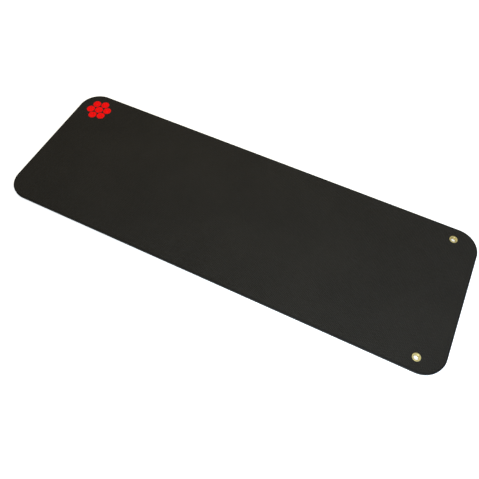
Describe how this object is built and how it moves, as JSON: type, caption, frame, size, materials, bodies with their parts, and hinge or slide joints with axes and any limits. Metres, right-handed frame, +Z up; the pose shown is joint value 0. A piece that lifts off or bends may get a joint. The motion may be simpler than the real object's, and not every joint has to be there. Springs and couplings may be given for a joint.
{
  "type": "exercise mat",
  "caption": "Soft foam exercise mat with rounded corners, a fine bumpy upper face and brass eyelets near one end for hanging it up.",
  "frame": {"origin": "on the floor, under the middle of the foam slab", "axes": "+X along the length towards the end with the eyelets, +Y across towards the far long side, +Z up out of the bumpy face"},
  "size_m": [1.73, 0.6, 0.0125],
  "materials": {
    "foam": "matt closed-cell foam with a fine field of round bumps",
    "brass": "bright pressed brass with fine draw lines"
  },
  "bodies": {
    "root": {"foam_mat": "foam", "eyelet_far": "brass", "eyelet_near": "brass", "washer_far": "brass", "washer_near": "brass"}
  },
  "joints": []
}
